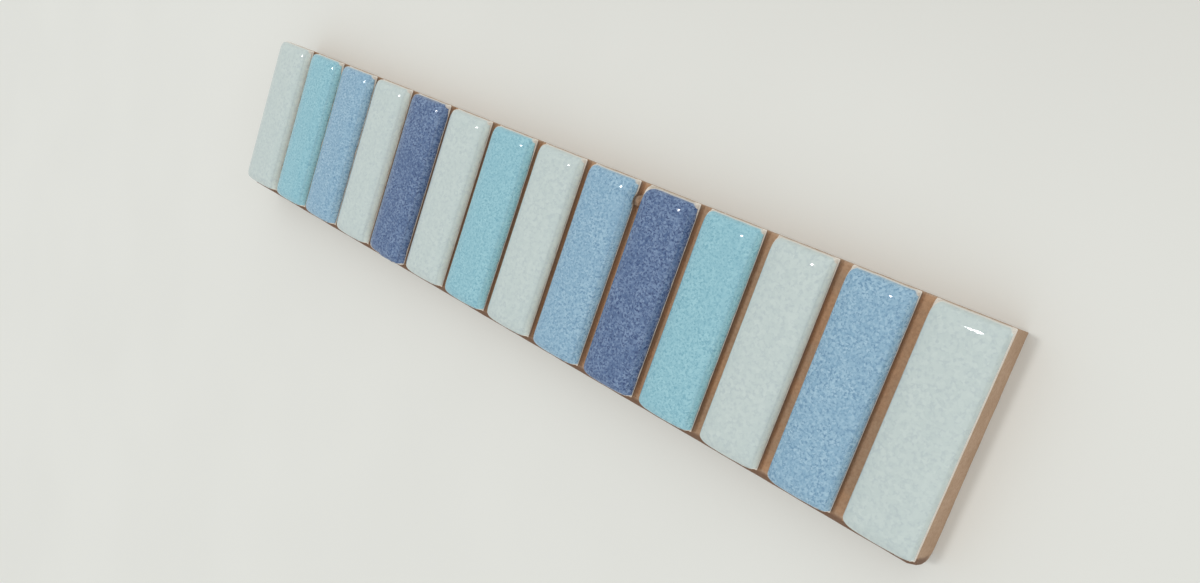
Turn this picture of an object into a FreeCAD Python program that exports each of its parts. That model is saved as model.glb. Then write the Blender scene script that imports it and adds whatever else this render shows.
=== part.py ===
"""A listello border tile: one fired terracotta slab with a row of raised, crowned bars.

The tile lies flat on its back. X runs along its length, Y runs across it, and Z points out of
the face with the bars. The origin is the centre of the tile's box, at the back. All sizes are
in millimetres.
"""
import FreeCAD, Part
import os

import Sketcher

NODE = "listello_tile"

# Driving sizes: name, value and meaning.
SIZES = [
    ("bar_count", 14, "raised bars in the row"),
    ("bar_width", 12.2, "one bar along the tile"),
    ("groove_width", 2.2, "bare clay between two bars"),
    ("first_extra", 1.0, "how much wider the first bar is than those between the ends"),
    ("last_extra", 0.5, "how much wider the last bar is than those between the ends"),
    ("bar_span", 39.0, "one bar across the tile"),
    ("lower_step", 1.5, "how far the slab reaches past the bars at its lower side"),
    ("slab_height", 7.8, "back of the tile to the floor of the grooves"),
    ("bar_side", 3.95, "floor of a groove to the edge of a bar's crown"),
    ("crown_rise", 0.4, "edge of the crown to its middle"),
    ("shoulder_radius", 1.8, "rounding around the top of each bar"),
    ("lower_front_radius", 1.4, "rounding of the slab's lower side towards the face"),
    ("lower_back_radius", 2.2, "rounding of the slab's lower side towards the back"),
]

# Sizes that follow from the driving ones.
TIED_SIZES = [
    ("bar_pitch", "bar_width + groove_width", "one bar to the next"),
    ("tile_length", "bar_pitch * bar_count - groove_width + first_extra + last_extra",
     "whole length"),
    ("tile_width", "bar_span + lower_step", "whole width"),
    ("first_bar_width", "bar_width + first_extra", "the bar at the left end"),
    ("last_bar_width", "bar_width + last_extra", "the bar at the right end"),
    ("crown_level", "slab_height + bar_side", "back of the tile to the edge of the crowns"),
]

# Places closer together than this are the same place.
SAME_PLACE = 1e-3


def fill_sheet(doc):
    """Put the driving sizes, and the sizes tied to them, in a spreadsheet."""
    sheet = doc.addObject("Spreadsheet::Sheet", "Sizes")
    rows = [(name, str(value), meaning) for name, value, meaning in SIZES]
    rows += [(name, "=" + formula, meaning) for name, formula, meaning in TIED_SIZES]
    for row, (name, content, meaning) in enumerate(rows, start=1):
        sheet.set("A%d" % row, meaning)
        sheet.set("B%d" % row, content)
        sheet.setAlias("B%d" % row, name)
    doc.recompute()
    return sheet


def own_plane(body, role):
    """One of the body's origin planes or axes."""
    return next(feature for feature in body.Origin.OriginFeatures if feature.Role == role)


def start_sketch(body, name, plane):
    """An empty sketch on one of the body's planes."""
    sketch = body.newObject("Sketcher::SketchObject", name)
    sketch.AttachmentSupport = [(own_plane(body, plane), "")]
    sketch.MapMode = "FlatFace"
    return sketch


def join_in_a_ring(sketch, count):
    """Join the end of each line or arc to the start of the next."""
    for side in range(count):
        sketch.addConstraint(Sketcher.Constraint("Coincident", side, 2, (side + 1) % count, 1))


def drive(sketch, constraint, name, formula):
    """Add a constraint, name it and tie it to the spreadsheet."""
    index = sketch.addConstraint(constraint)
    sketch.renameConstraint(index, name)
    sketch.setExpression("Constraints." + name, formula)


def add_slab(body, sheet):
    """The slab: a block that reaches past the bars at the lower side."""
    sketch = start_sketch(body, "SlabOutline", "XY_Plane")
    half_length = sheet.tile_length / 2
    half_width = sheet.tile_width / 2
    corners = [
        FreeCAD.Vector(-half_length, -half_width, 0),
        FreeCAD.Vector(half_length, -half_width, 0),
        FreeCAD.Vector(half_length, half_width, 0),
        FreeCAD.Vector(-half_length, half_width, 0),
    ]
    for start, end in zip(corners, corners[1:] + corners[:1]):
        sketch.addGeometry(Part.LineSegment(start, end), False)
    lower, right, upper, left = range(4)
    join_in_a_ring(sketch, 4)
    sketch.addConstraint(Sketcher.Constraint("Horizontal", lower))
    sketch.addConstraint(Sketcher.Constraint("Horizontal", upper))
    sketch.addConstraint(Sketcher.Constraint("Vertical", right))
    sketch.addConstraint(Sketcher.Constraint("Vertical", left))
    # Opposite corners mirror each other through the origin.
    sketch.addConstraint(Sketcher.Constraint("Symmetric", lower, 1, upper, 1, -1, 1))
    drive(sketch, Sketcher.Constraint("DistanceX", lower, 1, lower, 2, 2 * half_length),
          "length", "Sizes.tile_length")
    drive(sketch, Sketcher.Constraint("DistanceY", right, 1, right, 2, 2 * half_width),
          "width", "Sizes.tile_width")
    slab = body.newObject("PartDesign::Pad", "Slab")
    slab.Profile = sketch
    slab.setExpression("Length", "Sizes.slab_height")
    return slab


def add_bar(body, sheet, name, left, width):
    """One bar: upright sides and a crowned top, flush with the tile's upper side.

    left and width are formulas. The section is drawn in the upper side, from the bar's foot
    on the floor of the grooves, and runs from there across the tile.
    """
    sketch = start_sketch(body, name + "Section", "XZ_Plane")
    sketch.setExpression("AttachmentOffset.Base.x", left)
    sketch.setExpression("AttachmentOffset.Base.y", "Sizes.slab_height")
    sketch.setExpression("AttachmentOffset.Base.z", "-Sizes.tile_width / 2")
    foot_left = FreeCAD.Vector(0, 0, 0)
    foot_right = FreeCAD.Vector(sheet.bar_width, 0, 0)
    side_right = FreeCAD.Vector(sheet.bar_width, sheet.bar_side, 0)
    crown_top = FreeCAD.Vector(sheet.bar_width / 2, sheet.bar_side + sheet.crown_rise, 0)
    side_left = FreeCAD.Vector(0, sheet.bar_side, 0)
    sketch.addGeometry(Part.LineSegment(foot_left, foot_right), False)
    sketch.addGeometry(Part.LineSegment(foot_right, side_right), False)
    sketch.addGeometry(Part.Arc(side_right, crown_top, side_left), False)
    sketch.addGeometry(Part.LineSegment(side_left, foot_left), False)
    foot, right, crown, back_down = range(4)
    join_in_a_ring(sketch, 4)
    sketch.addConstraint(Sketcher.Constraint("Coincident", foot, 1, -1, 1))
    sketch.addConstraint(Sketcher.Constraint("Horizontal", foot))
    sketch.addConstraint(Sketcher.Constraint("Vertical", right))
    sketch.addConstraint(Sketcher.Constraint("Vertical", back_down))
    sketch.addConstraint(Sketcher.Constraint("Equal", right, back_down))
    drive(sketch, Sketcher.Constraint("DistanceX", foot, 1, foot, 2, sheet.bar_width),
          "width", width)
    drive(sketch, Sketcher.Constraint("DistanceY", right, 1, right, 2, sheet.bar_side),
          "side", "Sizes.bar_side")
    radius = (sheet.bar_width ** 2 / 4 + sheet.crown_rise ** 2) / (2 * sheet.crown_rise)
    formula = "((%s) ^ 2 / 4 + Sizes.crown_rise ^ 2) / (2 * Sizes.crown_rise)" % width
    drive(sketch, Sketcher.Constraint("Radius", crown, radius), "crown", formula)
    bar = body.newObject("PartDesign::Pad", name)
    bar.Profile = sketch
    bar.setExpression("Length", "Sizes.bar_span")
    return bar


def add_bars(body, sheet):
    """The wider bar at each end, and the row of like bars between them."""
    add_bar(body, sheet, "FirstBar", "-Sizes.tile_length / 2", "Sizes.first_bar_width")
    second = add_bar(body, sheet, "SecondBar",
                     "-Sizes.tile_length / 2 + Sizes.first_extra + Sizes.bar_pitch",
                     "Sizes.bar_width")
    row = body.newObject("PartDesign::LinearPattern", "BarRow")
    row.Originals = [second]
    row.Direction = (own_plane(body, "X_Axis"), [""])
    row.Mode = "Spacing"
    row.setExpression("Offset", "Sizes.bar_pitch")
    row.setExpression("Occurrences", "Sizes.bar_count - 2")
    body.Tip = row
    add_bar(body, sheet, "LastBar", "Sizes.tile_length / 2 - Sizes.last_bar_width",
            "Sizes.last_bar_width")


def edges_where(shape, wanted):
    """Names of the edges whose ends and middle all satisfy wanted(point)."""
    names = []
    for number, edge in enumerate(shape.Edges, start=1):
        middle = edge.valueAt((edge.FirstParameter + edge.LastParameter) / 2)
        points = [vertex.Point for vertex in edge.Vertexes] + [middle]
        if all(wanted(point) for point in points):
            names.append("Edge%d" % number)
    return names


def add_rounding(body, name, wanted, radius):
    """Round the edges whose points satisfy wanted. radius is a formula."""
    base = body.Tip
    rounding = body.newObject("PartDesign::Fillet", name)
    rounding.Base = (base, edges_where(base.Shape, wanted))
    rounding.setExpression("Radius", radius)


def round_edges(doc, body, sheet):
    """Round the bars' shoulders and the slab's lower side."""
    crown_level = sheet.crown_level - SAME_PLACE
    lower_side = -sheet.tile_width / 2 + SAME_PLACE
    floor = sheet.slab_height - SAME_PLACE
    add_rounding(body, "Shoulders", lambda point: point.z > crown_level, "Sizes.shoulder_radius")
    doc.recompute()
    # The rounding at the face ends before it meets the bars.
    add_rounding(body, "LowerFront", lambda point: point.y < lower_side and point.z > floor,
                 "min(Sizes.lower_front_radius; Sizes.lower_step * 0.95)")
    doc.recompute()
    add_rounding(body, "LowerBack", lambda point: point.y < lower_side and point.z < SAME_PLACE,
                 "Sizes.lower_back_radius")
    doc.recompute()


def check(doc, body):
    """Stop if a feature failed or the tile isn't one sound solid."""
    for item in doc.Objects:
        if "Invalid" in item.State or "Error" in item.State:
            raise RuntimeError("%s failed: %s" % (item.Name, item.State))
    shape = body.Shape
    if shape.isNull() or not shape.isValid() or len(shape.Solids) != 1:
        raise RuntimeError("the tile isn't one valid solid")


def main():
    doc = FreeCAD.newDocument("Listello")
    sheet = fill_sheet(doc)
    body = doc.addObject("PartDesign::Body", "Tile")
    body.Label = NODE
    add_slab(body, sheet)
    add_bars(body, sheet)
    doc.recompute()
    round_edges(doc, body, sheet)
    check(doc, body)
    os.makedirs("parts", exist_ok=True)
    body.Shape.exportStep(os.path.join("parts", body.Label + ".step"))
    box = body.Shape.optimalBoundingBox()
    print("%s: %.2f x %.2f x %.2f mm, %.1f cubic mm, %d faces" % (
        body.Label, box.XLength, box.YLength, box.ZLength, body.Shape.Volume,
        len(body.Shape.Faces)))


main()
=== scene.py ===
"""Looks of a listello border tile: terracotta body, white slip and crackled glazes.

Lengths in this script are millimetres in the tile's own frame, and become metres as they go
into a mesh. X runs along the tile, Y across it and Z out of its face. Colours are given as 0 to
255 on the screen.
"""

import math

import bmesh
import bpy
from mathutils import Matrix, Vector, noise


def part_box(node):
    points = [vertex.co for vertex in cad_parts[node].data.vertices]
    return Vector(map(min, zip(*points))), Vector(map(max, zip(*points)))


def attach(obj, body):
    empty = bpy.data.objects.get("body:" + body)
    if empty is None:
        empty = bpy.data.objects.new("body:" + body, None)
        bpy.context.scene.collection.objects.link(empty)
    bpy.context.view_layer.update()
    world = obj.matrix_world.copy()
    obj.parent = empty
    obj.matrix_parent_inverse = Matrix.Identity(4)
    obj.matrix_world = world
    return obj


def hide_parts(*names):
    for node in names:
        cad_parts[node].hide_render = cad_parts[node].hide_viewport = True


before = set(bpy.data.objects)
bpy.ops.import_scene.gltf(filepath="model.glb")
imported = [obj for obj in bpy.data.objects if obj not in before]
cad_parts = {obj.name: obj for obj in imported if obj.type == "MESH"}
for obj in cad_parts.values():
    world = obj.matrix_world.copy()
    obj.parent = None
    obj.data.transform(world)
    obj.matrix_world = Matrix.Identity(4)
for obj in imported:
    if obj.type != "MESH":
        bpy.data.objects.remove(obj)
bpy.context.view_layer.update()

MM = 0.001
NODE = "listello_tile"
# Points of a mesh that are closer together than this are the same point.
SAME_PLACE = 1e-4

# The tile's box, from the frame.
low_corner, high_corner = (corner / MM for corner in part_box(NODE))

# Sizes of the real tile.
BAR_COUNT = 14
BAR_WIDTH = 12.2
GROOVE_WIDTH = 2.2
FIRST_EXTRA = 1.0
LAST_EXTRA = 0.5
BAR_SPAN = 39.0
LOWER_STEP = 1.5
SLAB_HEIGHT = 7.8
CLAY_TOP = 9.12
LOWER_FRONT_DROP = 0.8
LOWER_BACK_RADIUS = 2.2
BAR_PITCH = BAR_WIDTH + GROOVE_WIDTH

# The bars' upper and lower ends, as places along Y.
UPPER_END = high_corner.y
LOWER_END = high_corner.y - BAR_SPAN

# The clay's outer faces lie this far inside the box, which leaves room for their unevenness.
SKIN = 0.06
UNEVENNESS = 0.05
WORN_EDGE = 0.14
# How far the upper side and the right end's face lean in at the back, and how far the lower side
# is drawn in at the right end, near the face.
UPPER_LEAN = 0.5
END_LEAN = 0.3
LOWER_CORNER_DRAWN_IN = 0.5
# Painted shade on the clay high on the right side of a bar, just under the slip, from 0 to 1.
BAR_SIDE_PAINTED_SHADE = 0.9

# Steps of the clay's mesh: across the tile, up the side of a bar, along a bar and a groove, and
# down the front rounding, the upright part and the back rounding of the lower side.
STEPS_ACROSS = 110
STEPS_UP = 6
STEPS_ON_BAR = 9
STEPS_IN_GROOVE = 6
STEPS_FRONT_ROUNDING = 7
STEPS_UPRIGHT = 7
STEPS_BACK_ROUNDING = 8

# The slip is a plate on the clay with a pillow on it. The pillow has a steep wall and a cap
# that rises from the wall as a flattened ellipse.
SLIP_FOOT = 9.24
WALL_TOP = 10.47
WALL_REACH = 0.62
CAP_RISE = 1.4
CROWN_RISE = 0.24
CAP_SIDE_REACH = 3.56
CAP_END_REACH = 2.46
CAP_POWER = 1.74
TOP_RIPPLE = 0.003

# Outlines seen from above: how far inside the bar they lie at its left, right, lower and upper
# side, and the size along X and Y of their corners at the upper right, upper left, lower left
# and lower right.
SLIP_PLATE = ((0.02, 0.02, 0.0, 0.02), ((0.2, 0.2), (0.3, 1.8), (1.8, 0.9), (0.2, 0.2)))
SLIP_PILLOW = ((0.04, 0.12, -0.03, 0.08), ((0.3, 0.3), (0.9, 3.6), (2.6, 1.2), (3.0, 0.3)))
GLAZE_PILLOW = ((0.01, 0.07, -0.06, 0.05), ((0.3, 0.3), (0.9, 3.6), (2.6, 1.2), (3.0, 0.3)))
GLAZE_COVER = ((0.32, 0.07, 0.0, 0.09), ((0.65, 0.9), (1.25, 4.2), (3.0, 1.5), (3.4, 0.45)))
# Along its right side the last bar shows a little more bare slip than the others do.
LAST_RIGHT_BARE = 0.13
# Near the upper right corner the glaze draws back from the bar's side, by this much over this way.
GLAZE_DRAWN_BACK = 0.05
GLAZE_DRAWN_WAY = 3.5
# At its lower end a bar swells where the glaze ran and pooled, most in the middle of the end.
LOWER_SWELL = 0.28
LOWER_SWELL_WAY = 3.0
GLAZE_DEPTH = 0.06
GLAZE_LIP = 0.35
# At its edge the glaze dips this far into the slip, so that no gap shows under its lip.
LIP_DIP = 0.03
# The glaze's edge wavers by this much along the bar's right side, more at its left, and at its
# ends. The wavering fades out over a short way from the edge.
EDGE_WAVER_RIGHT = 0.015
EDGE_WAVER_MORE_AT_LEFT = 0.06
EDGE_WAVER_ENDS = 0.05
EDGE_WAY = 1.2

# Steps of a ring around a bar: on its long sides, on its short sides and in its corners.
SLIP_RING = (110, 34, 8)
GLAZE_RING = (130, 40, 10)
# Rings of the slip's plate, as inset and height, from its hidden underside to its upper edge.
PLATE_RINGS = (
    (0.9, CLAY_TOP - 0.2), (0.15, CLAY_TOP - 0.2), (0.05, CLAY_TOP - 0.02),
    (0.0, CLAY_TOP + 0.04), (0.0, SLIP_FOOT - 0.06), (0.05, SLIP_FOOT),
)
# Insets of the rings up the slip's pillow, and the inset and height of the one that closes it
# under the glaze.
PILLOW_INSETS = (0.0, 0.01, 0.03, 0.06, 0.1, 0.16, 0.24, 0.34, 0.46, 0.6, 0.8, 1.0, 1.3)
PILLOW_END = (1.5, WALL_TOP - 0.3)
# Rings of the glaze that are hidden in the slip, as inset and depth below its surface, and the
# insets of those that are seen, closest together at the lip.
HIDDEN_RINGS = ((0.7, 0.5), (0.12, 0.4))
GLAZE_INSETS = (0.0, 0.01, 0.03, 0.06, 0.1, 0.15, 0.21, 0.28, 0.36, 0.46, 0.6, 0.78, 1.0, 1.3,
                1.65, 2.05, 2.5, 3.0, 3.5, 4.0, 4.6, 5.2, 5.7)

# Faults of the making, by bar counted from 0: a lump of clay in the groove to the right of one
# bar, and a bar whose glaze falls short at the left of its lower end and ran over at the right.
LUMP_BAR = 8
LUMP_BELOW_TOP = 3.7
LUMP_FROM_BAR = 1.0
LUMP_ABOVE_FLOOR = 0.6
LUMP_HALF = Vector((0.95, 1.3, 1.6))
LUMP_ROUGHNESS = 0.3
LUMP_SLANT = 0.35
LUMP_DENT = 0.55
SHORT_BAR = 4
SHORT_FALL = 0.45
SHORT_RUN = 0.3
# The bar after the lump shows more bare slip along its upper side, and at its upper left corner.
AFTER_LUMP_BARE = 0.08
AFTER_LUMP_CORNER = (2.6, 4.2)

COLOUR_ORDER = (
    "white", "turquoise", "light_blue", "white", "dark_blue", "white", "turquoise",
    "white", "light_blue", "dark_blue", "turquoise", "white", "light_blue", "white",
)

# Each glaze: the pale and the deep shade of its cells, the colour of lines and specks, and the
# size of a cell.
GLAZES = {
    "white": {"pale": (198, 210, 207), "deep": (190, 203, 201), "line": (181, 194, 195),
              "cell": 0.68},
    "turquoise": {"pale": (157, 202, 212), "deep": (139, 187, 200), "line": (112, 164, 181),
                  "cell": 0.42},
    "light_blue": {"pale": (162, 194, 212), "deep": (132, 169, 193), "line": (98, 137, 168),
                   "cell": 0.42},
    "dark_blue": {"pale": (126, 149, 181), "deep": (76, 101, 140), "line": (38, 61, 106),
                  "cell": 0.42},
}
# The net of cells is bent by up to this much, over about as long a way.
CELL_BEND = 0.5
# The lines between the cells end at this distance from a border, as a share of the cell's size.
LINE_REACH = 0.34
CLOUD_SIZE = 5.0
CLOUD_SHARE = 0.3
GLAZE_ROUGHNESS = (0.06, 0.1)
GLAZE_IOR = 1.5
SPECK_RELIEF = 0.002
# Painted light: the glaze's steep sides are made this much brighter, against the shade in the
# grooves.
STEEP_PAINTED_LIGHT = 1.42

SLIP_COLOUR = (226, 219, 208)
SLIP_BEIGE = (186, 174, 156)
SLIP_RELIEF = 0.02

# The clay: two shades outside, two in the grooves that are redder and painted lighter against the
# grooves' shade, its grit, and the tones of its painted shade outside and in the grooves.
CLAY_OUTSIDE = ((172, 143, 116), (182, 153, 127))
CLAY_IN_GROOVES_PAINTED_LIGHTER = ((180, 150, 122), (190, 152, 118))
CLAY_GRIT = (146, 110, 84)
CLAY_PAINTED_SHADE_OUTSIDE = (104, 76, 58)
CLAY_PAINTED_SHADE_IN_GROOVES = (98, 88, 80)
CLAY_RELIEF = 0.06

# The floor: two shades near the tile, and a darker tone of painted shade beyond its upper side.
FLOOR_PAINT = ((222, 223, 218), (224, 225, 220))
FLOOR_PAINTED_SHADE_BEYOND = (207, 206, 200)
FLOOR_ROUGHNESS = 0.7
# How far the floor reaches each way, in metres.
FLOOR_REACH = 2.0

IMAGE_WIDTH = 1200
FOCAL_PIXELS = 901.75
SENSOR_WIDTH = 36.0
# The camera sees nothing nearer than this, in metres.
CAMERA_NEAR = 0.01
CAMERA_PLACE = Vector((129.71, 30.12, 150.65))
VIEW_AXIS = Vector((-0.57666, -0.18606, -0.79551))
IMAGE_UP = Vector((-0.36871, 0.92819, 0.05018))

SKY_COLOUR = (1.0, 1.0, 0.99, 1.0)
SKY_STRENGTH = 0.82
# How much brighter the sky is towards X, Y and Z, as a share of its strength.
SKY_SLOPE = (0.2, 0.12, 0.0)
LAMP_STRENGTH = 0.6
LAMP_ANGLE = 8.0
LAMP_AXIS = Vector((-0.170, 0.081, 0.982))


def linear(red, green, blue):
    """A colour given as 0 to 255 on the screen, as the shader's linear values."""
    def one(value):
        value /= 255.0
        return value / 12.92 if value <= 0.04045 else ((value + 0.055) / 1.055) ** 2.4
    return (one(red), one(green), one(blue), 1.0)


def held(share):
    """A share held between 0 and 1."""
    return min(max(share, 0.0), 1.0)


def steps(start, end, count):
    """count + 1 evenly spaced values from start to end."""
    return [start + (end - start) * index / count for index in range(count + 1)]


def wave(x, y, z, length, seed):
    """Smooth noise from -1 to 1 whose bumps are about length millimetres apart."""
    return noise.noise(Vector((x, y, z)) / length + Vector((seed * 17.3, seed * 5.1, seed * 9.7)))


def bar_sides(index):
    """Left and right side of a bar, counted from 0 at the left end."""
    left = low_corner.x + FIRST_EXTRA + index * BAR_PITCH
    right = left + BAR_WIDTH
    if index == 0:
        left -= FIRST_EXTRA
    if index == BAR_COUNT - 1:
        right += LAST_EXTRA
    return left, right


def finish_object(name, bm, material):
    """Turn a mesh in millimetres into an object that rides with the tile."""
    bmesh.ops.remove_doubles(bm, verts=bm.verts, dist=SAME_PLACE)
    bmesh.ops.recalc_face_normals(bm, faces=bm.faces)
    bmesh.ops.scale(bm, vec=(MM, MM, MM), verts=bm.verts)
    mesh = bpy.data.meshes.new(name)
    bm.to_mesh(mesh)
    bm.free()
    for polygon in mesh.polygons:
        polygon.use_smooth = True
    mesh.materials.append(material)
    piece = bpy.data.objects.new(name, mesh)
    bpy.context.scene.collection.objects.link(piece)
    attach(piece, "root")
    return piece


def add_patch(bm, rows):
    """A patch of quads through rows of points, each row as long as the others."""
    grid = [[bm.verts.new(point) for point in row] for row in rows]
    for low, high in zip(grid, grid[1:]):
        for left, right, far_right, far_left in zip(low, low[1:], high[1:], high):
            bm.faces.new((left, right, far_right, far_left))


def lower_profile():
    """The slab's lower side as (y, z), from the floor of the grooves to the back."""
    step = LOWER_STEP - SKIN
    low = LOWER_END - step
    points = []
    shoulder = SLAB_HEIGHT - LOWER_FRONT_DROP
    for turn in steps(0.0, math.pi / 2, STEPS_FRONT_ROUNDING):
        points.append((LOWER_END - step * math.sin(turn),
                       shoulder + LOWER_FRONT_DROP * math.cos(turn)))
    for z in steps(shoulder, LOWER_BACK_RADIUS, STEPS_UPRIGHT)[1:]:
        points.append((low, z))
    for turn in steps(0.0, math.pi / 2, STEPS_BACK_ROUNDING)[1:]:
        points.append((low + LOWER_BACK_RADIUS * (1 - math.cos(turn)),
                       LOWER_BACK_RADIUS * (1 - math.sin(turn))))
    return points


def add_bar_feet(bm, across):
    """The clay feet of the bars and the floors of the grooves. Returns the columns of the mesh,
    as places along X."""
    heights = steps(SLAB_HEIGHT, CLAY_TOP, STEPS_UP)
    columns = []
    for index in range(BAR_COUNT):
        left, right = bar_sides(index)
        if index == 0:
            left += SKIN
        if index == BAR_COUNT - 1:
            right -= SKIN
        bar_columns = steps(left, right, STEPS_ON_BAR)
        add_patch(bm, [[(x, y, CLAY_TOP) for y in across] for x in bar_columns])
        for x in (left, right):
            add_patch(bm, [[(x, y, z) for y in across] for z in heights])
        for y in (across[0], across[-1]):
            add_patch(bm, [[(x, y, z) for x in bar_columns] for z in heights])
        if columns:
            groove_columns = steps(columns[-1], left, STEPS_IN_GROOVE)
            add_patch(bm, [[(x, y, SLAB_HEIGHT) for y in across] for x in groove_columns])
            columns += groove_columns[1:-1]
        columns += bar_columns
    return columns


def add_slab(bm, across, columns):
    """The slab's lower side, end faces, back and upper side."""
    profile = lower_profile()
    add_patch(bm, [[(x, y, z) for y, z in profile] for x in columns])
    # Rows across the end faces and the back, from the lower side to the upper one.
    rows = []
    for low_y, z in profile:
        shares = [(y - across[0]) / (across[-1] - across[0]) for y in across]
        rows.append([(low_y + (across[-1] - low_y) * share, z) for share in shares])
    for x in (columns[0], columns[-1]):
        add_patch(bm, [[(x, y, z) for y, z in row] for row in rows])
    add_patch(bm, [[(x, y, 0.0) for y, z in rows[-1]] for x in columns])
    add_patch(bm, [[(x, across[-1], z) for y, z in profile] for x in columns])


def clay_body(material):
    """The slab with the feet of the bars, as one closed mesh with worn edges."""
    bm = bmesh.new()
    across = steps(LOWER_END, UPPER_END - SKIN, STEPS_ACROSS)
    columns = add_bar_feet(bm, across)
    add_slab(bm, across, columns)
    bmesh.ops.remove_doubles(bm, verts=bm.verts, dist=SAME_PLACE)
    layers = [bm.verts.layers.float.new(name) for name in ("floor", "shade")]
    for vert in bm.verts:
        for layer, value in zip(layers, groove_and_painted_shade(vert.co)):
            vert[layer] = value
        vert.co += clay_unevenness(vert.co)
    piece = finish_object("clay_body", bm, material)
    bevel = piece.modifiers.new("worn_edges", "BEVEL")
    bevel.width = WORN_EDGE * MM
    bevel.segments = 2
    bevel.limit_method = "ANGLE"
    bevel.angle_limit = math.radians(50)
    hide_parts(NODE)
    return piece


def groove_and_painted_shade(place):
    """Whether a point lies in a groove, and how much painted shade the clay has there. The painted
    shade is darkest high on the right side of a bar, and along the slab's lower side."""
    outside = max(abs(place.x) - high_corner.x + 1.0, LOWER_END + 0.3 - place.y,
                  place.y - UPPER_END + 0.2)
    if place.z < SLAB_HEIGHT - 0.01:
        # Painted shade along the slab's lower side.
        painted_low_shade = held((LOWER_END - 0.1 - place.y) / 0.3)
        return 0.0, painted_low_shade * held(place.z / 3.0)
    if outside > 0.0:
        return 0.0, 0.0
    from_first = (place.x - bar_sides(0)[1]) / BAR_PITCH
    if abs(from_first - round(from_first)) * BAR_PITCH > 0.1:
        return 1.0, 0.0
    # Painted shade: the clay high on a bar's right side is darkened where the groove's shadow falls
    # under the slip.
    return 1.0, BAR_SIDE_PAINTED_SHADE * held((place.z - SLAB_HEIGHT - 0.3) / 0.9)


def clay_unevenness(place):
    """How far a point of the clay lies off the true form."""
    x, y, z = place
    shift = Vector((
        UNEVENNESS * wave(x, y, z, 2.7, 1),
        UNEVENNESS * wave(x, y, z, 3.4, 2),
        UNEVENNESS * wave(x, y, z, 2.9, 3),
    ))
    # The back stays above the floor.
    if z < 0.3:
        shift.z = abs(shift.z)
    below = 1.0 - z / CLAY_TOP
    up_share = held((y - LOWER_END) / BAR_SPAN)
    shift.y -= UPPER_LEAN * below * up_share
    if x > high_corner.x - 1.0:
        shift.x -= END_LEAN * below * up_share
        shift.y += LOWER_CORNER_DRAWN_IN * (1.0 - up_share) ** 8 * held((z - 4.0) / 3.0)
    return shift


def cap_share(distance, reach):
    """How much of the cap's full rise is reached at a distance from the bar's edge."""
    inward = held(1.0 - distance / reach)
    return (1.0 - inward ** CAP_POWER) ** (1.0 / CAP_POWER)


def dome(share):
    """A quarter of an ellipse: 0 at share 0, and level with 1 from share 1 on."""
    return math.sqrt(1.0 - (1.0 - held(share)) ** 2)


class Outline:
    """A rectangle around a bar, seen from above, with a quarter ellipse at each corner."""

    SIGNS = ((1, 1), (-1, 1), (-1, -1), (1, -1))

    def __init__(self, index, insets, corners):
        left, right = bar_sides(index)
        self.left = left + insets[0]
        self.right = right - insets[1]
        self.low = LOWER_END + insets[2]
        self.high = UPPER_END - insets[3]
        self.corners = corners
        self.middle = ((self.left + self.right) / 2, (self.low + self.high) / 2)
        self.half = ((self.right - self.left) / 2, (self.high - self.low) / 2)

    def depth(self, x, y):
        """How far inside the outline a point lies."""
        away_x = x - self.middle[0]
        away_y = y - self.middle[1]
        number = self.SIGNS.index((1 if away_x >= 0 else -1, 1 if away_y >= 0 else -1))
        radius_x, radius_y = self.corners[number]
        over_x = abs(away_x) - self.half[0] + radius_x
        over_y = abs(away_y) - self.half[1] + radius_y
        if min(over_x, over_y) <= 0.0:
            return min(radius_x - over_x, radius_y - over_y)
        share = math.hypot(over_x / radius_x, over_y / radius_y)
        slope = math.hypot(over_x / radius_x ** 2, over_y / radius_y ** 2) / share
        return (1.0 - share) / slope

    def loop(self, inset, counts):
        """Points in one turn, inset from the outline. counts: steps on the long sides, on the
        short sides and in the corners."""
        long_count, short_count, corner_count = counts
        shrink = 1.0 - inset / self.half[0]
        arcs = []
        for number, (sign_x, sign_y) in enumerate(self.SIGNS):
            radius_x, radius_y = (radius * shrink for radius in self.corners[number])
            centre_x = self.middle[0] + sign_x * (self.half[0] - inset - radius_x)
            centre_y = self.middle[1] + sign_y * (self.half[1] - inset - radius_y)
            start = number * math.pi / 2
            arcs.append([(centre_x + radius_x * math.cos(turn), centre_y + radius_y * math.sin(turn))
                         for turn in steps(start, start + math.pi / 2, corner_count)])
        points = []
        for number, arc in enumerate(arcs):
            points += arc
            begin = arc[-1]
            goal = arcs[(number + 1) % 4][0]
            count = long_count if number % 2 else short_count
            for share in steps(0.0, 1.0, count)[1:-1]:
                points.append((begin[0] + (goal[0] - begin[0]) * share,
                               begin[1] + (goal[1] - begin[1]) * share))
        return points


def pillow_height(x, y, index, outline):
    """The height of a pillow whose foot follows an outline. It stays just under the box's top."""
    left, right = bar_sides(index)
    side = max(min(x - left, right - x), 0.0)
    end = max(min(y - LOWER_END, UPPER_END - y), 0.0)
    crown = CROWN_RISE * (1.0 - (1.0 - 2.0 * side / (right - left)) ** 2)
    rise = CAP_RISE * cap_share(side, CAP_SIDE_REACH) + crown
    ripple = 1.0 + TOP_RIPPLE * wave(x, y, 0.0, 5.0, 4)
    top = WALL_TOP + rise * cap_share(end, CAP_END_REACH) * ripple
    wall = dome(outline.depth(x, y) / WALL_REACH)
    return min(SLIP_FOOT + (top - SLIP_FOOT) * wall, high_corner.z - 0.01)


def close_rings(bm, rings):
    """Join rings of points, and fill the first and the last."""
    loops = [[bm.verts.new(point) for point in points] for points in rings]
    for low, high in zip(loops, loops[1:]):
        count = len(low)
        for index in range(count):
            after = (index + 1) % count
            bm.faces.new((low[index], low[after], high[after], high[index]))
    bm.faces.new(loops[0])
    bm.faces.new(loops[-1])
    return loops


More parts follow.
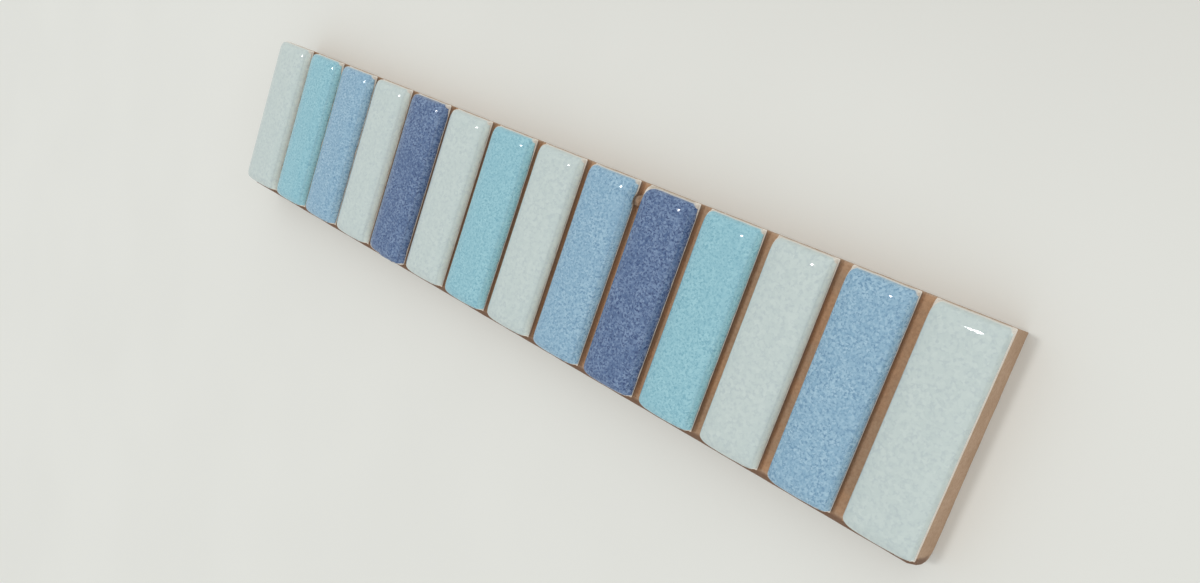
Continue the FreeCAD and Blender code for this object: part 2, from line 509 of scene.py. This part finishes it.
def slip_block(index, material):
    """The white slip on a bar: a plate on the clay, and the steep wall of its pillow."""
    plate = Outline(index, *SLIP_PLATE)
    pillow = Outline(index, *SLIP_PILLOW)
    rings = []
    for inset, z in PLATE_RINGS:
        points = plate.loop(inset, SLIP_RING)
        rings.append([(x - lump_dent(x, y, index), y, z) for x, y in points])
    for inset in PILLOW_INSETS:
        sink = GLAZE_DEPTH * dome(inset / 0.2)
        rings.append([(x - lump_dent(x, y, index), y - lower_swell(x, y, index),
                       pillow_height(x, y, index, pillow) - sink)
                      for x, y in pillow.loop(inset, SLIP_RING)])
    inset, z = PILLOW_END
    rings.append([(x, y, z) for x, y in pillow.loop(inset, SLIP_RING)])
    bm = bmesh.new()
    beige_layer = bm.verts.layers.float.new("beige_share")
    close_rings(bm, rings)
    for vert in bm.verts:
        vert[beige_layer] = slip_beige_share(vert.co, plate)
    return finish_object("slip_%02d" % (index + 1), bm, material)


def lump_dent(x, y, index):
    """How far the lump of clay pushed in the right side of the bar beside it."""
    if index != LUMP_BAR:
        return 0.0
    along = (y - UPPER_END + LUMP_BELOW_TOP + 0.2) / 1.1
    inward = held(1.0 - (bar_sides(index)[1] - x) / 2.0)
    return LUMP_DENT * inward * math.exp(-along ** 2)


def lower_swell(x, y, index):
    """How far a point of the slip or glaze moves out at the bar's lower end."""
    left, right = bar_sides(index)
    share = held((x - left) / (right - left))
    near = held(1.0 - (y - LOWER_END) / LOWER_SWELL_WAY)
    swell = LOWER_SWELL * 4.0 * share * (1.0 - share)
    if index == SHORT_BAR:
        swell += SHORT_RUN * held((share - 0.4) / 0.07)
    return near * swell


def slip_beige_share(place, plate):
    """How much the slip turns darker beige: most along the upper side, but not at its ends, and a
    little along the left side."""
    from_right = plate.right - place.x
    from_left = place.x - plate.left
    from_top = plate.high - place.y
    clear_corner = held((min(from_right, from_left) - 0.7) / 0.8)
    upper = 0.85 * clear_corner * held(1.4 - from_top)
    left = 0.15 * held(1.4 - from_left) * held(from_top - 0.6)
    return max(upper, left)


def right_flank(place, cover):
    """1 along the right side of a bar, where the glaze runs down to the foot, 0 elsewhere."""
    from_corner = min((cover.high - place.y - 0.8) / 0.4, (place.y - cover.low - 0.4) / 0.4)
    from_middle = (place.x - cover.middle[0]) / cover.half[0]
    return held(from_corner) * (1.0 if from_middle > 0.6 else 0.0)


def glaze_outline(index):
    """The edge of a bar's glaze. How much slip it leaves bare at the upper side varies."""
    (left, right, lower, upper), corners = GLAZE_COVER
    upper += 0.04 * wave(index, 0.0, 0.0, 0.61, 7)
    if index == LUMP_BAR + 1:
        upper += AFTER_LUMP_BARE
        corners = (corners[0], AFTER_LUMP_CORNER) + corners[2:]
    if index == BAR_COUNT - 1:
        right = LAST_RIGHT_BARE
    return Outline(index, (left, right, lower, upper), corners)


def drawn_back(x, y, cover):
    """How far the glaze draws back from the bar's right side near the upper corner."""
    near = held(1.0 - (cover.high - y) / GLAZE_DRAWN_WAY)
    side = held((x - cover.middle[0]) / cover.half[0])
    return GLAZE_DRAWN_BACK * near ** 1.5 * side


def short_edge(x, y, cover):
    """How far the glaze falls short of its line at the lower side, over the bar's left part."""
    share = (x - cover.left) / (cover.right - cover.left)
    near = held((cover.low + 2.5 - y) / 1.5)
    return SHORT_FALL * near * held((0.5 - share) / 0.06)


def glaze_point(x, y, inset, index, cover, pillow):
    """A point of the glaze's skin, from its place on a ring this far inside the glaze's edge."""
    fade = max(1.0 - inset / EDGE_WAY, 0.0)
    from_right = held((cover.right - x - 1.0) / 2.0)
    waver = EDGE_WAVER_MORE_AT_LEFT * from_right + EDGE_WAVER_RIGHT
    x += fade * waver * wave(x, y, 0.0, 2.2, 5)
    y += EDGE_WAVER_ENDS * fade * wave(x, y, 0.0, 2.2, 6)
    if index == SHORT_BAR:
        y += fade * short_edge(x, y, cover)
    x -= fade * drawn_back(x, y, cover)
    thin = 1.0 - dome(inset / GLAZE_LIP)
    z = pillow_height(x, y, index, pillow) - (GLAZE_DEPTH + LIP_DIP) * thin
    return x - lump_dent(x, y, index), y - lower_swell(x, y, index), z


def glaze_cap(index, material):
    """The coloured glaze on a bar: a thin skin on the pillow that ends in a soft lip."""
    cover = glaze_outline(index)
    pillow = Outline(index, *GLAZE_PILLOW)
    rings = []
    depths = []
    for inset, drop in HIDDEN_RINGS:
        points = cover.loop(inset, GLAZE_RING)
        rings.append([(x, y, pillow_height(x, y, index, pillow) - drop) for x, y in points])
        depths.append(0.0)
    for inset in GLAZE_INSETS:
        points = cover.loop(inset, GLAZE_RING)
        rings.append([glaze_point(x, y, inset, index, cover, pillow) for x, y in points])
        depths.append(inset)
    bm = bmesh.new()
    edge_layer = bm.verts.layers.float.new("edge")
    painted_light_layer = bm.verts.layers.float.new("painted_light_side")
    for loop, depth in zip(close_rings(bm, rings), depths):
        for vert in loop:
            flank = right_flank(vert.co, cover)
            upper = held((vert.co.y - cover.high + 1.0) / 0.5)
            vert[edge_layer] = depth * (1.0 - 0.25 * upper) + flank
            # Painted light on the steep sides, except at the upper end and along the last bar's
            # right side.
            vert[painted_light_layer] = 1.0 - max(upper, flank if index == BAR_COUNT - 1 else 0.0)
    return finish_object("glaze_%02d" % (index + 1), bm, material)


def clay_lump(material):
    """A lump of clay that was left in a groove. It slants to the right towards the upper side, and
    has painted shade, darkest at its left."""
    side = bar_sides(LUMP_BAR)[1]
    centre = Vector((side + LUMP_FROM_BAR, UPPER_END - LUMP_BELOW_TOP,
                     SLAB_HEIGHT + LUMP_ABOVE_FLOOR))
    bm = bmesh.new()
    bmesh.ops.create_icosphere(bm, subdivisions=4, radius=1.0)
    floor_layer, painted_shade_layer = (bm.verts.layers.float.new(name) for name in ("floor", "shade"))
    for vert in bm.verts:
        rough = 1.0 + LUMP_ROUGHNESS * wave(*vert.co, 0.8, 8)
        left_share = 0.5 - 0.5 * vert.co.x
        vert.co = centre + Vector(part * size for part, size in zip(vert.co * rough, LUMP_HALF))
        vert.co.x += LUMP_SLANT * (vert.co.y - centre.y) / LUMP_HALF.y
        vert[floor_layer] = 1.0
        # Painted shade on the lump, darkest at its left; it takes the grooves' painted-lighter clay.
        vert[painted_shade_layer] = 0.1 + 0.8 * left_share
    return finish_object("clay_lump", bm, material)


class Nodes:
    """A material's node tree, with short ways to add and join nodes."""

    def __init__(self, name):
        self.material = bpy.data.materials.new(name)
        self.material.use_nodes = True
        self.tree = self.material.node_tree
        self.shader = self.tree.nodes["Principled BSDF"]

    def add(self, kind, **inputs):
        """A node of a kind, its inputs set by name to a value or joined to an output."""
        node = self.tree.nodes.new(kind)
        for name, value in inputs.items():
            self.put(node.inputs[name.replace("_", " ")], value)
        return node

    def put(self, socket, value):
        """Set a socket to a value, or join an output to it."""
        if isinstance(value, bpy.types.NodeSocket):
            self.tree.links.new(value, socket)
        else:
            socket.default_value = value

    def place(self):
        """The surface point in millimetres."""
        where = self.add("ShaderNodeTexCoord").outputs["Object"]
        scale = self.add("ShaderNodeVectorMath")
        scale.operation = "SCALE"
        self.put(scale.inputs[0], where)
        self.put(scale.inputs["Scale"], 1.0 / MM)
        return scale.outputs["Vector"]

    def bent_place(self, where, length, reach):
        """A point moved by up to reach, by noise whose blotches are about length apart."""
        shift = self.add("ShaderNodeTexNoise", Vector=where, Scale=1.0 / length, Detail=1.0)
        bend = self.add("ShaderNodeVectorMath")
        bend.operation = "MULTIPLY_ADD"
        self.put(bend.inputs[0], shift.outputs["Color"])
        bend.inputs[1].default_value = (reach, reach, reach)
        self.put(bend.inputs[2], where)
        return bend.outputs["Vector"]

    def noise(self, where, length, detail=2.0, rough=0.5):
        """Noise whose blotches are about length millimetres apart."""
        node = self.add("ShaderNodeTexNoise", Vector=where, Scale=1.0 / length, Detail=detail,
                        Roughness=rough)
        return node.outputs["Fac"]

    def attribute(self, name):
        """A number that the mesh holds at each of its points."""
        node = self.add("ShaderNodeAttribute")
        node.attribute_name = name
        return node.outputs["Fac"]

    def ramp(self, value, low, high, low_out=0.0, high_out=1.0):
        """value taken smoothly from the range low..high to low_out..high_out, held at both ends."""
        node = self.add("ShaderNodeMapRange")
        node.interpolation_type = "SMOOTHSTEP"
        for name, number in (("From Min", low), ("From Max", high), ("To Min", low_out),
                             ("To Max", high_out)):
            node.inputs[name].default_value = number
        self.put(node.inputs["Value"], value)
        return node.outputs["Result"]

    def mix(self, share, first, second, blend="MIX"):
        """Two colours mixed by share."""
        node = self.add("ShaderNodeMix")
        node.data_type = "RGBA"
        node.blend_type = blend
        self.put(node.inputs["Factor"], share)
        colours = [socket for socket in node.inputs if socket.type == "RGBA"]
        self.put(colours[0], first)
        self.put(colours[1], second)
        return next(socket for socket in node.outputs if socket.type == "RGBA")

    def combine(self, operation, first, second):
        """Two numbers added or multiplied."""
        node = self.add("ShaderNodeMath")
        node.operation = operation
        self.put(node.inputs[0], first)
        self.put(node.inputs[1], second)
        return node.outputs[0]

    def steepness(self, steep, level):
        """1 where the normal's upward part is steep or less, falling to 0 where it is level."""
        normal = self.add("ShaderNodeNewGeometry").outputs["Normal"]
        upward = self.add("ShaderNodeSeparateXYZ", Vector=normal).outputs["Z"]
        return self.ramp(upward, steep, level, 1.0, 0.0)

    def bump(self, height, depth):
        """A bump whose full height is depth millimetres."""
        node = self.add("ShaderNodeBump", Height=height)
        node.inputs["Strength"].default_value = 1.0
        node.inputs["Distance"].default_value = depth * MM
        return node.outputs["Normal"]


def glaze_tone(nodes, glaze, where, clouds, specks):
    """A glaze's colour: cells in two shades, dark lines and specks between them, and clouds."""
    pale, deep, line = (linear(*glaze[name]) for name in ("pale", "deep", "line"))
    bent = nodes.bent_place(where, CELL_BEND, CELL_BEND)
    scale = 1.0 / glaze["cell"]
    cells = nodes.add("ShaderNodeTexVoronoi", Vector=bent, Scale=scale)
    shade = nodes.add("ShaderNodeSeparateColor", Color=cells.outputs["Color"]).outputs[0]
    borders = nodes.add("ShaderNodeTexVoronoi", Vector=bent, Scale=scale)
    borders.feature = "DISTANCE_TO_EDGE"
    lines = nodes.ramp(borders.outputs["Distance"], 0.0, LINE_REACH, 1.0, 0.0)
    tone = nodes.mix(shade, pale, deep)
    tone = nodes.mix(nodes.combine("MULTIPLY", lines, specks), tone, line)
    return nodes.mix(nodes.combine("MULTIPLY", clouds, CLOUD_SHARE), tone, deep)


def glaze_material(colour):
    """A glossy glaze with a net of fine cells. It lets the slip show at its lip, and has painted
    light on its steep sides, against the shade in the grooves."""
    glaze = GLAZES[colour]
    nodes = Nodes(colour + "_glaze")
    where = nodes.place()
    specks = nodes.ramp(nodes.noise(where, 1.2 * glaze["cell"], 1.0), 0.4, 0.7)
    clouds = nodes.ramp(nodes.noise(where, CLOUD_SIZE), 0.35, 0.65)
    tone = glaze_tone(nodes, glaze, where, clouds, specks)
    lip = nodes.ramp(nodes.attribute("edge"), 0.03, 0.16, 0.85, 0.0)
    tone = nodes.mix(lip, tone, linear(*SLIP_COLOUR))
    # Painted light: steep glaze is made brighter where the mesh allows it.
    steep = nodes.combine("MULTIPLY", nodes.steepness(0.2, 0.6), nodes.attribute("painted_light_side"))
    brighter = (STEEP_PAINTED_LIGHT, STEEP_PAINTED_LIGHT, STEEP_PAINTED_LIGHT, 1.0)
    tone = nodes.mix(steep, tone, brighter, "MULTIPLY")
    shader = nodes.shader
    nodes.put(shader.inputs["Base Color"], tone)
    nodes.put(shader.inputs["Roughness"], nodes.ramp(clouds, 0.0, 1.0, *GLAZE_ROUGHNESS))
    shader.inputs["IOR"].default_value = GLAZE_IOR
    nodes.put(shader.inputs["Normal"], nodes.bump(specks, SPECK_RELIEF))
    return nodes.material


def slip_material():
    """White slip: a smooth fired clay wash, darker beige in blotches and where the mesh's beige
    share says.
    """
    nodes = Nodes("engobe")
    where = nodes.place()
    patches = nodes.noise(where, 1.6, 3.0, 0.6)
    blotches = nodes.ramp(patches, 0.45, 0.75, 0.0, 0.3)
    share = nodes.combine("ADD", blotches, nodes.attribute("beige_share"))
    tone = nodes.mix(share, linear(*SLIP_COLOUR), linear(*SLIP_BEIGE))
    shader = nodes.shader
    nodes.put(shader.inputs["Base Color"], tone)
    nodes.put(shader.inputs["Roughness"], nodes.ramp(patches, 0.3, 0.7, 0.4, 0.6))
    nodes.put(shader.inputs["Normal"], nodes.bump(patches, SLIP_RELIEF))
    return nodes.material


def clay_material():
    """Fired terracotta with fine grit: tan outside, redder and painted lighter in the grooves
    against their shade, and with painted shade on their walls and at the slab's lower side."""
    nodes = Nodes("terracotta")
    where = nodes.place()
    grain = nodes.noise(where, 0.5, 3.0, 0.65)
    patches = nodes.ramp(nodes.noise(where, 6.0, 3.0, 0.55), 0.35, 0.65)
    floor = nodes.attribute("floor")
    shade = nodes.attribute("shade")
    outer = nodes.mix(patches, *(linear(*colour) for colour in CLAY_OUTSIDE))
    groove_clay_painted_lighter = nodes.mix(patches, *(linear(*colour) for colour in CLAY_IN_GROOVES_PAINTED_LIGHTER))
    # The grooves' clay is painted lighter, against their shade.
    tone = nodes.mix(floor, outer, groove_clay_painted_lighter)
    tone = nodes.mix(nodes.ramp(grain, 0.35, 0.7, 0.0, 0.4), tone, linear(*CLAY_GRIT))
    dark = nodes.mix(floor, linear(*CLAY_PAINTED_SHADE_OUTSIDE), linear(*CLAY_PAINTED_SHADE_IN_GROOVES))
    # Painted shade: the clay darkens by the mesh's shade number.
    tone = nodes.mix(nodes.combine("MULTIPLY", shade, 0.85), tone, dark)
    shader = nodes.shader
    nodes.put(shader.inputs["Base Color"], tone)
    nodes.put(shader.inputs["Roughness"], nodes.ramp(grain, 0.3, 0.7, 0.8, 0.95))
    nodes.put(shader.inputs["Normal"], nodes.bump(grain, CLAY_RELIEF))
    return nodes.material


def floor_material():
    """Plain pale paint, with painted shade that makes it a little darker beyond the tile's upper
    side.
    """
    nodes = Nodes("floor_paint")
    where = nodes.place()
    patches = nodes.ramp(nodes.noise(where, 60.0), 0.3, 0.7)
    tone = nodes.mix(patches, *(linear(*colour) for colour in FLOOR_PAINT))
    across = nodes.add("ShaderNodeSeparateXYZ", Vector=where).outputs["Y"]
    # Painted shade: the floor darkens beyond the tile's upper side.
    tone = nodes.mix(nodes.ramp(across, 20.0, 130.0), tone, linear(*FLOOR_PAINTED_SHADE_BEYOND))
    nodes.put(nodes.shader.inputs["Base Color"], tone)
    nodes.shader.inputs["Roughness"].default_value = FLOOR_ROUGHNESS
    return nodes.material


def build_tile():
    """All the pieces of the tile."""
    clay = clay_material()
    clay_body(clay)
    clay_lump(clay)
    slip = slip_material()
    glazes = {colour: glaze_material(colour) for colour in GLAZES}
    for index, colour in enumerate(COLOUR_ORDER):
        slip_block(index, slip)
        glaze_cap(index, glazes[colour])


def build_floor():
    """The floor, level with the tile's back."""
    bm = bmesh.new()
    bmesh.ops.create_grid(bm, x_segments=1, y_segments=1, size=FLOOR_REACH)
    mesh = bpy.data.meshes.new("floor")
    bm.to_mesh(mesh)
    bm.free()
    mesh.materials.append(floor_material())
    floor = bpy.data.objects.new("floor", mesh)
    bpy.context.scene.collection.objects.link(floor)


def aim(place, axis, up):
    """A matrix at place that looks along axis with up upwards."""
    back = -axis.normalized()
    right = up.cross(back).normalized()
    true_up = back.cross(right)
    matrix = Matrix((right, true_up, back)).transposed().to_4x4()
    matrix.translation = place
    return matrix


def build_camera():
    """The camera, at the place that was worked out from the tile's corners."""
    camera = bpy.data.cameras.new("camera")
    camera.sensor_width = SENSOR_WIDTH
    camera.lens = FOCAL_PIXELS / IMAGE_WIDTH * SENSOR_WIDTH
    camera.clip_start = CAMERA_NEAR
    holder = bpy.data.objects.new("camera", camera)
    holder.matrix_world = aim(CAMERA_PLACE * MM, VIEW_AXIS, IMAGE_UP)
    bpy.context.scene.collection.objects.link(holder)
    bpy.context.scene.camera = holder


def build_sky():
    """A white room that is brighter to the right and beyond the tile's upper side."""
    world = bpy.data.worlds.new("studio")
    world.use_nodes = True
    tree = world.node_tree
    ways = tree.nodes.new("ShaderNodeTexCoord")
    slope = tree.nodes.new("ShaderNodeVectorMath")
    slope.operation = "DOT_PRODUCT"
    tree.links.new(ways.outputs["Generated"], slope.inputs[0])
    slope.inputs[1].default_value = SKY_SLOPE
    level = tree.nodes.new("ShaderNodeMath")
    level.operation = "MULTIPLY_ADD"
    tree.links.new(slope.outputs["Value"], level.inputs[0])
    level.inputs[1].default_value = SKY_STRENGTH
    level.inputs[2].default_value = SKY_STRENGTH
    tree.links.new(level.outputs[0], tree.nodes["Background"].inputs["Strength"])
    tree.nodes["Background"].inputs["Color"].default_value = SKY_COLOUR
    bpy.context.scene.world = world


def build_lamp():
    """A small lamp above, whose gleam shows near the bars' upper ends."""
    lamp = bpy.data.lights.new("small_lamp", "SUN")
    lamp.energy = LAMP_STRENGTH
    lamp.angle = math.radians(LAMP_ANGLE)
    holder = bpy.data.objects.new("small_lamp", lamp)
    holder.matrix_world = aim(LAMP_AXIS, -LAMP_AXIS, Vector((0, 1, 0)))
    bpy.context.scene.collection.objects.link(holder)


build_tile()
build_floor()
build_camera()
build_sky()
build_lamp()
bpy.context.scene.view_settings.view_transform = "Standard"
